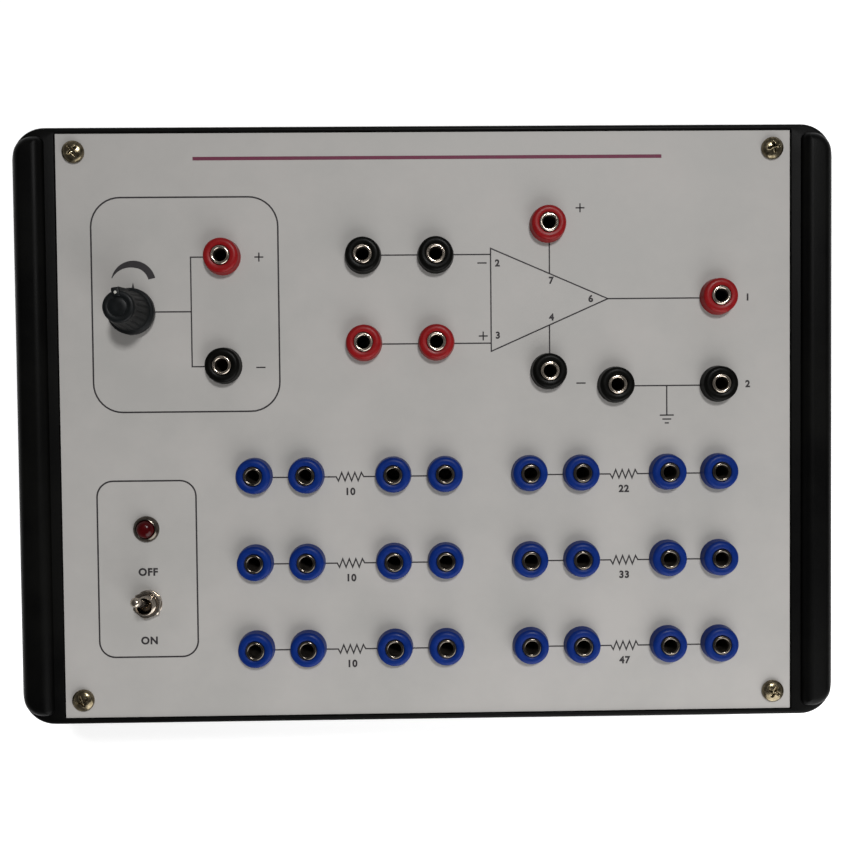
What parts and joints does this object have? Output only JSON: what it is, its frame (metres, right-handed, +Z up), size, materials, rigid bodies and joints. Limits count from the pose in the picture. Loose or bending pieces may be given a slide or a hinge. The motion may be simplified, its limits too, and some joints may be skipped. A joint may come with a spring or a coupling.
{
  "type": "electronics trainer",
  "caption": "Flat bench trainer for one operational amplifier: sockets on a grey panel in a black case, with a knob and a toggle switch.",
  "frame": {"origin": "on the table, under the middle of the case", "axes": "+X to the right along the front, +Y away from the user towards the title edge, +Z up"},
  "size_m": [0.2554, 0.186, 0.0827],
  "materials": {
    "case_plastic": "fine moulded grain",
    "panel_laminate": "satin",
    "black_cap": "moulded, slightly glossy",
    "red_cap": "moulded, slightly glossy",
    "blue_cap": "moulded, slightly glossy",
    "nickel": "bright nickel plate",
    "steel": "zinc plated sheet",
    "knob_plastic": "moulded, satin",
    "white_inlay": "pressed in inlay",
    "red_lens": "clear tinted plastic",
    "foot_rubber": "matt",
    "tinned_copper": "tinned wire",
    "resistor_coat": "lacquer",
    "board_laminate": "lacquered laminate",
    "part_plastic": "moulded epoxy",
    "can_sleeve": "shrunk sleeve",
    "aluminium": "extruded",
    "laminated_iron": "varnished stack",
    "winding_tape": "wound tape",
    "former_plastic": "moulded",
    "fuse_glass": "clear",
    "terminal_plastic": "moulded"
  },
  "bodies": {
    "case": {"amplifier_chip": "part_plastic", "black_socket_caps": "black_cap", "blue_socket_caps": "blue_cap", "bridge_rectifier": "part_plastic", "case_base": "case_plastic", "case_frame": "case_plastic", "chip_socket": "part_plastic", "circuit_board": "board_laminate", "control_body": "steel", "control_nut": "nickel", "control_tags": "tinned_copper", "cord_bush": "foot_rubber", "filter_capacitors": "can_sleeve", "front_panel": "panel_laminate", "fuse_clips": "tinned_copper", "heat_sink": "aluminium", "lamp_bezel": "nickel", "lamp_leads": "tinned_copper", "lamp_lens": "red_lens", "lamp_nut": "nickel", "left_resistors": "resistor_coat", "link_wires": "tinned_copper", "mains_fuse": "fuse_glass", "panel_screws": "nickel", "red_socket_caps": "red_cap", "right_resistors": "resistor_coat", "rubber_feet": "foot_rubber", "socket_barrels": "nickel", "switch_body": "part_plastic", "switch_neck": "nickel", "switch_nut": "nickel", "switch_pin": "steel", "switch_tags": "tinned_copper", "switch_washer": "nickel", "terminal_block": "terminal_plastic", "transformer_bolts": "steel", "transformer_core": "laminated_iron", "transformer_former": "former_plastic", "transformer_strap": "steel", "transformer_winding": "winding_tape", "voltage_regulators": "part_plastic"},
    "knob": {"control_knob": "knob_plastic", "knob_dot": "white_inlay", "control_shaft": "steel"},
    "lever": {"switch_lever": "nickel"}
  },
  "joints": [
    {"name": "knob_turn", "type": "hinge", "parent": "case", "child": "knob", "pos_m": [-0.0912, 0.0359, 0.0675], "axis": [0, 0, 1], "range_deg": [-158, 142]},
    {"name": "switch_toggle", "type": "hinge", "parent": "case", "child": "lever", "pos_m": [-0.0879, -0.0552, 0.0701], "axis": [1, 0, 0], "range_deg": [0, 30]}
  ]
}
